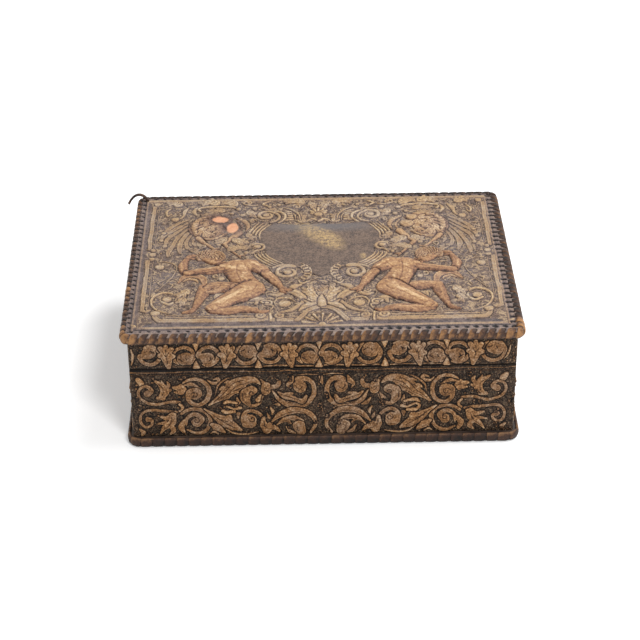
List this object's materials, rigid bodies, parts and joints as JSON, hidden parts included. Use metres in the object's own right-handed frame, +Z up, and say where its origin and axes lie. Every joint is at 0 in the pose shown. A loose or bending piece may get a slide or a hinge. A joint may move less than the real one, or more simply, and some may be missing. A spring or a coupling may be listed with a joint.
{
  "type": "cigar box",
  "caption": "Cigar box of tooled leather over wood, with a hinged overhanging lid, a projecting base plate and thong-laced edges.",
  "frame": {"origin": "middle of the underside, on the surface that the box stands on", "axes": "+X to the right of someone facing the front, +Y to the back where the hinges are, +Z up"},
  "size_m": [0.2573, 0.1934, 0.0862],
  "materials": {
    "tooled_leather": "embossed, dark ground with worn tan relief",
    "plain_leather": "smooth dark brown, slightly polished",
    "thong": "rubbed brown thong",
    "carcass_wood": "plain softwood, unfinished inside the leather",
    "cedar": "bare planed cedar",
    "brass": "dull aged brass"
  },
  "bodies": {
    "box": {"base_board": "carcass_wood", "base_margin_leather": "plain_leather", "base_underside_leather": "plain_leather", "base_lacing": "thong", "wall_front": "carcass_wood", "wall_back": "carcass_wood", "wall_left": "carcass_wood", "wall_right": "carcass_wood", "panel_front": "tooled_leather", "panel_back": "tooled_leather", "panel_left": "tooled_leather", "panel_right": "tooled_leather", "lining_floor": "cedar", "lining_front": "cedar", "lining_back": "cedar", "lining_left": "cedar", "lining_right": "cedar", "hinge_leaf_body_left": "brass", "hinge_leaf_body_right": "brass", "hinge_pin_left": "brass", "hinge_pin_right": "brass", "hinge_screws_body": "brass"},
    "lid": {"lid_board": "carcass_wood", "lid_top_leather": "tooled_leather", "lid_under_leather": "plain_leather", "lid_lacing": "thong", "lacing_tail": "thong", "lid_rail_front": "carcass_wood", "lid_rail_back": "carcass_wood", "lid_rail_left": "carcass_wood", "lid_rail_right": "carcass_wood", "lid_band_front": "tooled_leather", "lid_band_back": "tooled_leather", "lid_band_left": "tooled_leather", "lid_band_right": "tooled_leather", "lid_lining_top": "cedar", "lid_lining_front": "cedar", "lid_lining_back": "cedar", "lid_lining_left": "cedar", "lid_lining_right": "cedar", "hinge_leaf_lid_left": "brass", "hinge_leaf_lid_right": "brass", "hinge_screws_lid": "brass"}
  },
  "joints": [
    {"name": "lid_hinge", "type": "hinge", "parent": "box", "child": "lid", "pos_m": [0, 0.0895, 0.05565], "axis": [-1, 0, 0], "range_deg": [0, 95]}
  ]
}
